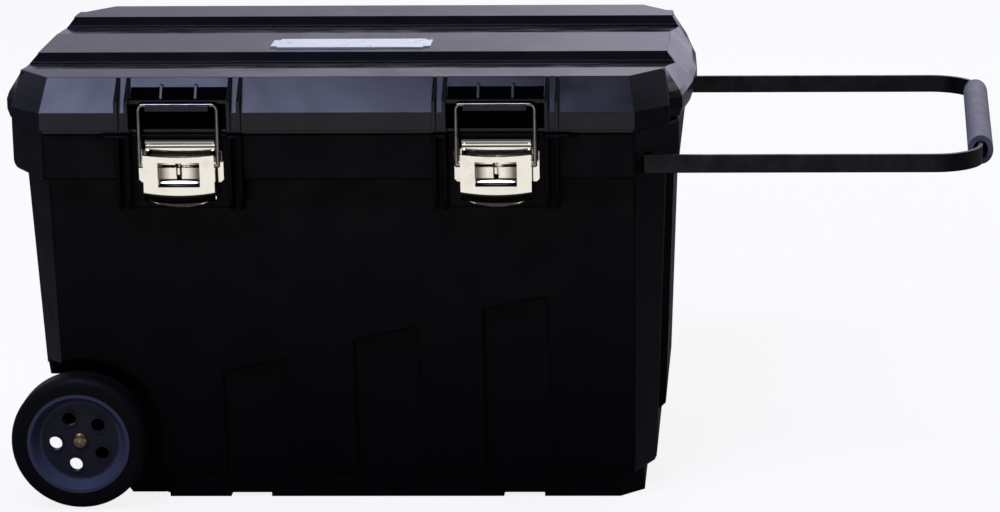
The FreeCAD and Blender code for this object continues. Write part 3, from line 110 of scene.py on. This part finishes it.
def area_light(name, place, aim, size, power, colour=(1, 1, 1)):
    data = bpy.data.lights.new(name, "AREA")
    data.shape = "RECTANGLE"
    data.size, data.size_y = size
    data.energy = power
    data.color = colour
    lamp = bpy.data.objects.new(name, data)
    lamp.location = place
    lamp.rotation_euler = (Vector(aim) - Vector(place)).to_track_quat("-Z", "Y").to_euler()
    bpy.context.collection.objects.link(lamp)


class Graph:
    """Short words for building a node tree."""

    def __init__(self, tree):
        self.tree = tree

    def put(self, socket, value):
        """Gives a socket a plain value or links an output to it; None leaves it alone."""
        if isinstance(value, bpy.types.NodeSocket):
            self.tree.links.new(value, socket)
        elif value is not None:
            socket.default_value = value

    def add(self, kind, *values, **settings):
        """Adds a node, whose sockets take the values in order."""
        made = self.tree.nodes.new("ShaderNode" + kind)
        for name, value in settings.items():
            setattr(made, name, value)
        for socket, value in zip(made.inputs, values):
            self.put(socket, value)
        return made

    def spread(self, source, low, high, to_low=0.0, to_high=1.0, interpolation="LINEAR"):
        made = self.add("MapRange", source, low, high, to_low, to_high, interpolation_type=interpolation)
        return made.outputs["Result"]

    def measure(self, kind, *values):
        """One step of arithmetic."""
        return self.add("Math", *values, operation=kind).outputs[0]

    def product(self, first, *others):
        for other in others:
            first = self.measure("MULTIPLY", first, other)
        return first


def make_world():
    """White to the camera; to everything else a pale sweep behind the object and a dim room before it."""
    world = bpy.data.worlds.new("studio")
    bpy.context.scene.world = world
    world.use_nodes = True
    world.node_tree.nodes.clear()
    graph = Graph(world.node_tree)
    heading = graph.add("SeparateXYZ", graph.add("TexCoord").outputs["Generated"]).outputs
    back = graph.spread(heading["Y"], *SWEEP_RISE)
    side = graph.spread(heading["X"], *SWEEP_SIDE)
    shade = graph.add("ValToRGB", graph.product(back, side))
    shade.color_ramp.elements[0].color = ROOM_COLOUR
    shade.color_ramp.elements[1].color = SWEEP_COLOUR
    lit = graph.add("Background", shade.outputs["Color"], 1.0)
    shown = graph.add("Background", WHITE, 1.0)
    seen = graph.add("LightPath").outputs["Is Camera Ray"]
    mix = graph.add("MixShader", seen, lit.outputs["Background"], shown.outputs["Background"])
    graph.add("OutputWorld", mix.outputs["Shader"])


def make_floor():
    """Pale floor that keeps the object's shadow, white to the camera and pale in what is glossy."""
    bpy.ops.mesh.primitive_plane_add(size=FLOOR_SIZE, location=(0, 0, -FLOOR_DROP))
    floor = bpy.context.object
    floor.name = "studio_floor"
    paint = bpy.data.materials.new("floor_paint")
    paint.use_nodes = True
    paint.node_tree.nodes.clear()
    graph = Graph(paint.node_tree)
    spot = graph.add("SeparateXYZ", graph.add("TexCoord").outputs["Object"]).outputs
    rises = [graph.spread(spot[axis], *limits, "SMOOTHSTEP") for axis, *limits in FLOOR_RISES]
    ray = graph.add("LightPath").outputs
    shown = graph.measure("MULTIPLY", ray["Is Camera Ray"], FLOOR_GLOW)
    strength = graph.measure("MULTIPLY_ADD", ray["Is Glossy Ray"], graph.product(*rises), shown)
    glow = graph.add("Emission", WHITE, strength)
    matt = graph.add("BsdfDiffuse", FLOOR_COLOUR)
    total = graph.add("AddShader", matt.outputs[0], glow.outputs[0])
    graph.add("OutputMaterial", total.outputs[0])
    floor.data.materials.append(paint)


class Paint(Graph):
    """A principled material whose colour, roughness and relief come from procedural nodes."""

    def __init__(self, name, colour, roughness, metallic=0.0, **fixed):
        self.material = bpy.data.materials.new(name)
        self.material.use_nodes = True
        super().__init__(self.material.node_tree)
        self.inputs = self.tree.nodes["Principled BSDF"].inputs
        fixed.update(Base_Color=(*colour, 1), Roughness=roughness, Metallic=metallic)
        for socket, value in fixed.items():
            self.inputs[socket.replace("_", " ")].default_value = value
        self.place = self.add("TexCoord").outputs["Object"]
        self.normal = None

    def noise(self, scale, detail):
        made = self.add("TexNoise", self.place)
        made.inputs["Scale"].default_value = scale
        made.inputs["Detail"].default_value = detail
        return made.outputs["Fac"]

    def patches(self, scale, detail, low, high):
        """Noise of which only the high spots are left."""
        return self.spread(self.noise(scale, detail), low, high)

    def spot(self):
        """The place on the object as three numbers."""
        return self.add("SeparateXYZ", self.place).outputs

    def below(self, source, limit, edge=0.0003):
        """One below a limit, falling softly to nothing above it."""
        return self.spread(source, limit - edge, limit + edge, 1.0, 0.0)

    def within(self, source, low, high, edge=0.0003):
        """One between two limits, falling softly to nothing outside them."""
        return self.product(self.spread(source, low - edge, low + edge), self.below(source, high, edge))

    def tint(self, source, other, strength=1.0):
        """Mixes another colour in where the source is high."""
        made = self.add("Mix", data_type="RGBA")
        current = self.inputs["Base Color"]
        if current.is_linked:
            self.put(made.inputs["A"], current.links[0].from_socket)
        else:
            made.inputs["A"].default_value = current.default_value
        made.inputs["B"].default_value = (*other, 1)
        self.put(made.inputs["Factor"], self.spread(source, 0.0, 1.0, 0.0, strength))
        self.put(current, made.outputs["Result"])

    def rough(self, source, low, high):
        self.put(self.inputs["Roughness"], self.spread(source, 0.3, 0.7, low, high))

    def bend(self, made):
        """Takes the surface's direction from a node."""
        self.normal = made.outputs["Normal"]
        self.put(self.inputs["Normal"], self.normal)

    def soften(self, radius):
        """Rounds the edges that the shading shows."""
        self.bend(self.add("Bevel", radius, samples=6))

    def relief(self, source, depth, strength):
        """Lays bumps on the relief so far."""
        made = self.add("Bump")
        made.inputs["Distance"].default_value = depth
        made.inputs["Strength"].default_value = strength
        self.put(made.inputs["Height"], source)
        self.put(made.inputs["Normal"], self.normal)
        self.bend(made)


def moulded_plastic(name, colour, dust, roughness, grain, edge=0.0, **fixed):
    """Fine moulded grain, soft waves and a little dust."""
    paint = Paint(name, colour, roughness, **fixed)
    if edge:
        paint.soften(edge)
    paint.tint(paint.patches(9, 5, 0.45, 0.75), dust, 0.5)
    paint.rough(paint.noise(24, 4), roughness - 0.06, roughness + 0.08)
    paint.relief(paint.noise(grain, 2), 0.0002, 0.2)
    paint.relief(paint.noise(11, 3), 0.0015, 0.08)
    return paint.material


def hub_plastic():
    """Slate plastic with a painted highlight on the cone between the flat face and the tyre."""
    paint = Paint("hub_plastic", (0.02, 0.021, 0.033), 0.3, Specular_IOR_Level=0.4)
    paint.tint(paint.patches(9, 5, 0.45, 0.75), (0.028, 0.03, 0.045), 0.5)
    spot = paint.spot()
    across = paint.measure("SUBTRACT", spot["X"], AXLE_X)
    above = paint.measure("SUBTRACT", spot["Z"], AXLE_Z)
    squares = paint.measure("ADD", paint.product(across, across), paint.product(above, above))
    # Painted highlight on the cone between the flat face and the tyre
    paint.tint(paint.within(paint.measure("SQRT", squares), *HUB_CONE, 0.001), (0.085, 0.096, 0.15))
    paint.rough(paint.noise(24, 4), 0.24, 0.38)
    paint.relief(paint.noise(1100, 2), 0.0002, 0.2)
    return paint.material


def nickel(name):
    """Warm plating with faint stains."""
    chrome = Paint(name, (0.92, 0.87, 0.74), 0.1, metallic=1.0)
    chrome.tint(chrome.patches(60, 4, 0.55, 0.8), (0.66, 0.56, 0.38), 0.5)
    chrome.rough(chrome.noise(45, 4), 0.06, 0.15)
    chrome.relief(chrome.noise(160, 3), 0.0002, 0.15)
    return chrome


def latch_spot(chrome):
    """Distance from the middle of the nearer latch, and height."""
    spot = chrome.spot()
    aside = chrome.measure("SUBTRACT", chrome.measure("ABSOLUTE", spot["X"]), LATCH_X["right"])
    return chrome.measure("ABSOLUTE", aside), spot["Z"]


def lever_plating_and_painted_light():
    """Bright face, with painted shade in the finger dish, its slots and round the lip, a painted highlight
    on the lip, and painted dark reflections at the head and curl.
    """
    chrome = nickel("lever_nickel")
    across, up = latch_spot(chrome)
    bowed = chrome.measure("SUBTRACT", up, chrome.product(across, across, LEVER_BOW))
    # Painted dark reflection along the lever's curl
    chrome.tint(chrome.within(bowed, *LEVER_CURL), CURL_PAINTED_REFLECTION)
    # Painted shade on the sides of the finger dish
    flanks = chrome.product(chrome.spread(across, *DISH_FLANK), chrome.below(across, DISH_HALF_WIDTH))
    chrome.tint(chrome.product(flanks, chrome.within(up, *DISH_HEIGHT)), DISH_PAINTED_SHADE, 0.95)
    # Painted shade round the foot of the lip
    foot = chrome.product(chrome.below(across, FOOT_HALF_WIDTH), chrome.within(up, *FOOT_HEIGHT))
    chrome.tint(foot, DEEP_PAINTED_SHADE)
    # Painted highlight on the oval lip
    aside = chrome.measure("DIVIDE", across, LIP_HALF_WIDTH)
    above = chrome.measure("DIVIDE", chrome.measure("SUBTRACT", up, LIP_Z), LIP_HALF_HEIGHT)
    oval = chrome.measure("ADD", chrome.product(aside, aside), chrome.product(above, above))
    chrome.tint(chrome.spread(oval, *LIP_EDGE, 1.0, 0.0), LIP_PAINTED_HIGHLIGHT)
    # Painted shade in the dish's slots
    slot = chrome.product(chrome.within(across, *SLOT_EDGES), chrome.within(up, *SLOT_HEIGHT))
    chrome.tint(slot, DEEP_PAINTED_SHADE)
    # Painted dark reflection along the lever's head
    chrome.tint(chrome.within(bowed, *LEVER_HEAD), HEAD_PAINTED_REFLECTION, 0.9)
    return chrome.material


def base_plating_and_painted_light():
    """Back plate with painted dark reflections along its beads."""
    chrome = nickel("plate_nickel")
    across, up = latch_spot(chrome)
    inside = chrome.below(across, BASE_HALF_WIDTH)
    # Painted dark reflections along the plate's beads
    for line in BASE_LINES:
        chrome.tint(chrome.product(inside, chrome.within(up, *line)), BEAD_PAINTED_REFLECTION)
    return chrome.material


def bail_wire():
    # The latches' nickel with its colour darkened as a painted dark reflection; the patches are stains
    wire = Paint("bail_wire", (0.34, 0.32, 0.28), 0.1, metallic=1.0)
    wire.tint(wire.patches(90, 3, 0.5, 0.7), (0.16, 0.14, 0.1), 0.6)
    wire.rough(wire.noise(120, 3), 0.08, 0.2)
    return wire.material


def handle_paint():
    bar = Paint("handle_paint", (0.006, 0.0065, 0.008), 0.38, Specular_IOR_Level=0.28)
    bar.tint(bar.patches(40, 5, 0.62, 0.7), (0.02, 0.02, 0.02), 0.6)
    bar.rough(bar.noise(60, 4), 0.3, 0.5)
    bar.relief(bar.noise(300, 3), 0.0002, 0.3)
    return bar.material


def grip_rubber():
    grip = Paint("grip_rubber", (0.22, 0.212, 0.262), 0.6)
    grip.tint(grip.patches(35, 4, 0.5, 0.7), (0.15, 0.145, 0.185), 0.6)
    grip.rough(grip.noise(50, 3), 0.5, 0.7)
    grip.relief(grip.noise(500, 3), 0.0003, 0.4)
    return grip.material


def plain_steel():
    steel = Paint("plain_steel", (0.48, 0.48, 0.5), 0.3, metallic=1.0)
    steel.rough(steel.noise(80, 4), 0.25, 0.42)
    steel.relief(steel.noise(300, 3), 0.0002, 0.2)
    return steel.material


def cap_brass():
    brass = Paint("cap_brass", (0.62, 0.42, 0.22), 0.28, metallic=1.0)
    brass.tint(brass.patches(300, 3, 0.45, 0.7), (0.2, 0.13, 0.08), 0.7)
    brass.rough(brass.noise(200, 3), 0.22, 0.4)
    return brass.material


def badge_finish():
    plate = Paint("badge_finish", (0.95, 0.97, 0.98), 0.32, metallic=0.3)
    plate.rough(plate.noise(50, 3), 0.26, 0.36)
    plate.relief(plate.noise(30, 2), 0.0001, 0.05)
    return plate.material


def make_materials():
    return {
        "lid": moulded_plastic("lid_plastic", (0.008, 0.008, 0.012), (0.014, 0.014, 0.02),
                               roughness=0.15, grain=900, edge=0.0012, Specular_IOR_Level=0.26),
        "tub": moulded_plastic("tub_plastic", (0.003, 0.003, 0.0036), (0.005, 0.005, 0.006),
                               roughness=0.4, grain=900, edge=0.005, Specular_IOR_Level=0.1),
        # Painted shade for the dark strips on the lid's groove floors
        "groove": moulded_plastic("groove_painted_shade", (0.010, 0.010, 0.015), (0.014, 0.014, 0.02),
                                  roughness=0.35, grain=900, Specular_IOR_Level=0.06),
        # Painted shade for the dark sheets in the recesses behind the bails
        "pocket": moulded_plastic("pocket_painted_shade", (0.0008, 0.0008, 0.001), (0.0012, 0.0012, 0.0015),
                                  roughness=0.7, grain=900, Specular_IOR_Level=0.02),
        "tray": moulded_plastic("tray_plastic", (0.012, 0.012, 0.013), (0.02, 0.02, 0.02), roughness=0.5,
                                grain=900),
        "guide": moulded_plastic("guide_nylon", (0.006, 0.006, 0.006), (0.012, 0.012, 0.012), roughness=0.5,
                                 grain=700),
        "seal": moulded_plastic("seal_foam", (0.01, 0.01, 0.01), (0.02, 0.02, 0.02), roughness=0.8,
                                grain=500),
        "tyre": moulded_plastic("tyre_rubber", (0.0065, 0.0064, 0.0062), (0.013, 0.0128, 0.0125),
                                roughness=0.55, grain=700, Specular_IOR_Level=0.15),
        "hub": hub_plastic(),
        "bar": handle_paint(),
        "grip": grip_rubber(),
        "chrome": nickel("latch_nickel").material,
        "lever": lever_plating_and_painted_light(),
        "latch_base": base_plating_and_painted_light(),
        "wire": bail_wire(),
        "steel": plain_steel(),
        "brass": cap_brass(),
        "plate": badge_finish(),
    }


# The finish of each node; the latches' pins and rivets take plain chrome
FINISHES = {
    "tub": "tub", "lid": "lid", "badge_plate": "plate", "lid_seal": "seal", "hinge_pins": "steel",
    "front_tyre": "tyre", "rear_tyre": "tyre", "front_hub": "hub", "rear_hub": "hub", "axle": "steel",
    "axle_washers": "steel", "axle_caps": "brass", "handle_bar": "bar", "grip_sleeve": "grip",
    "front_handle_guides": "guide", "rear_handle_guides": "guide", "arm_glides": "guide",
    "tote_tray": "tray", "tray_handle": "tray", "left_latch_bail": "wire", "right_latch_bail": "wire",
    "left_latch_lever": "lever", "right_latch_lever": "lever", "left_latch_base": "latch_base",
    "right_latch_base": "latch_base",
}
EDGE_WIDTH = {"tub": 0.0016, "lid": 0.0018, "tote_tray": 0.001}
FINE_EDGE = 0.0005
SHARPEST_SOFT_ANGLE = math.radians(28)


def finish_nodes(materials):
    """Gives each carried-over node its finish and softens its sharp edges."""
    for name, item in nodes.items():
        item.data.materials.clear()
        item.data.materials.append(materials[FINISHES.get(name, "chrome")])
        soft = item.modifiers.new("soft_edges", "BEVEL")
        soft.width = EDGE_WIDTH.get(name, FINE_EDGE)
        soft.segments = 2
        soft.limit_method = "ANGLE"
        soft.angle_limit = SHARPEST_SOFT_ANGLE
        soft.harden_normals = True


def add_mesh(name, points, faces, material, body):
    mesh = bpy.data.meshes.new(name)
    mesh.from_pydata([Vector(point) for point in points], [], faces)
    mesh.update()
    piece = bpy.data.objects.new(name, mesh)
    bpy.context.collection.objects.link(piece)
    mesh.materials.append(material)
    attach(piece, body)
    return piece


def extrude_y(name, outline, near, far, material, body, width):
    """A flat plate: an outline in X and Z between two depths, with softened edges."""
    count = len(outline)
    points = [(x, y, z) for y in (near, far) for x, z in outline]
    faces = [tuple(range(count)), tuple(range(2 * count - 1, count - 1, -1))]
    faces += [(i, i + count, (i + 1) % count + count, (i + 1) % count) for i in range(count)]
    piece = add_mesh(name, points, faces, material, body)
    work = bmesh.new()
    work.from_mesh(piece.data)
    bmesh.ops.recalc_face_normals(work, faces=work.faces)
    work.to_mesh(piece.data)
    work.free()
    soft = piece.modifiers.new("soft_edges", "BEVEL")
    soft.width = width
    soft.segments = 2


def add_tub_plates(name, outline, outer, inner, material, width):
    """The same plate in the front and in the rear wall of the tub."""
    for side, sign in SIDES.items():
        extrude_y("%s_%s" % (side, name), outline, sign * outer, sign * inner, material, "chest",
                  width)


def add_axle_gussets(material):
    """The web round each axle bracket, behind three of the hub's holes."""
    web = [(-28, 22), (-28, 5), (-18, -3), (-4, -16), (5, -36), (24, -36), (36, -22), (34, 12), (0, 32)]
    outline = [(AXLE_X + x / 1000, AXLE_Z + z / 1000) for x, z in web]
    add_tub_plates("axle_gusset", outline, outer=0.1898, inner=0.186, material=material, width=0.0006)


def add_well_corners(material):
    """Closes the slit between the wheel well's end and the plinth."""
    outline = [(-0.2112, 0.006), (-0.2012, 0.002), (-0.2012, 0.0245), (-0.2112, 0.0245)]
    add_tub_plates("well_corner", outline, outer=0.1935, inner=0.1875, material=material, width=0.001)


def add_well_skirts(material):
    """Foot of the end wall behind each wheel."""
    outline = [(-0.3366, 0.1475), (-0.3345, 0.1315), (-0.309, 0.1315), (-0.309, 0.159), (-0.322, 0.1545)]
    add_tub_plates("well_skirt", outline, outer=0.1645, inner=0.15, material=material, width=0.001)


def add_groove_painted_shades(material):
    """Dull strip of painted shade at the foot of each groove's riser, tapering away towards the handle's
    end.
    """
    low = LID_TOP - GROOVE_DEPTH + STRIP_LIFT
    for name, (foot, run, right, tip) in GROOVES.items():
        front, high = foot - STRIP_WIDTH, low + STRIP_WIDTH * GROOVE_DEPTH / run
        points = [(STRIP_LEFT, foot, low), (right, foot, low), (tip, foot, low), (right, front, high),
                  (STRIP_LEFT, front, high)]
        add_mesh(name + "_groove_painted_shade", points, [(0, 4, 3, 1), (1, 3, 2)], material, "lid")


def add_recess_painted_shade(material):
    """Dark sheets of painted shade in the recess behind each bail, and on the brow above it."""
    half_width, foot, head = 0.0522, 0.4225, 0.4503
    brow_half_width = 0.0515
    brow = [(-0.2232, 0.4665), (-0.2310, 0.4559), (-0.2420, 0.4558)]
    for side, middle in LATCH_X.items():
        left, right = middle - half_width, middle + half_width
        outline = [(left, foot), (right, foot), (right, head), (left, head)]
        extrude_y(side + "_keeper_pocket", outline, near=-0.2324, far=-0.2321, material=material, body="lid",
                  width=0.0001)
        points = [(middle + reach, y, z) for y, z in brow for reach in (-brow_half_width, brow_half_width)]
        add_mesh(side + "_keeper_brow", points, [(0, 2, 3, 1), (2, 4, 5, 3)], material, "lid")


bpy.context.scene.view_settings.view_transform = "Standard"
make_camera()
make_world()
make_floor()
area_light("overhead_softbox", place=(-0.8, -1.72, 2.8), aim=(0, 0, 0.4), size=(2.1, 0.7), power=38,
           colour=(0.72, 0.78, 1.2))
area_light("back_softbox", place=(0.6, 2.8, 1.9), aim=(0, 0, 0.4), size=(2.6, 1.0), power=14)
area_light("right_softbox", place=(2.6, 0.6, 0.9), aim=(0.2, 0, 0.3), size=(1.0, 1.2), power=4)
materials = make_materials()
finish_nodes(materials)
add_axle_gussets(materials["tub"])
add_recess_painted_shade(materials["pocket"])
add_well_corners(materials["tub"])
add_well_skirts(materials["tub"])
add_groove_painted_shades(materials["groove"])
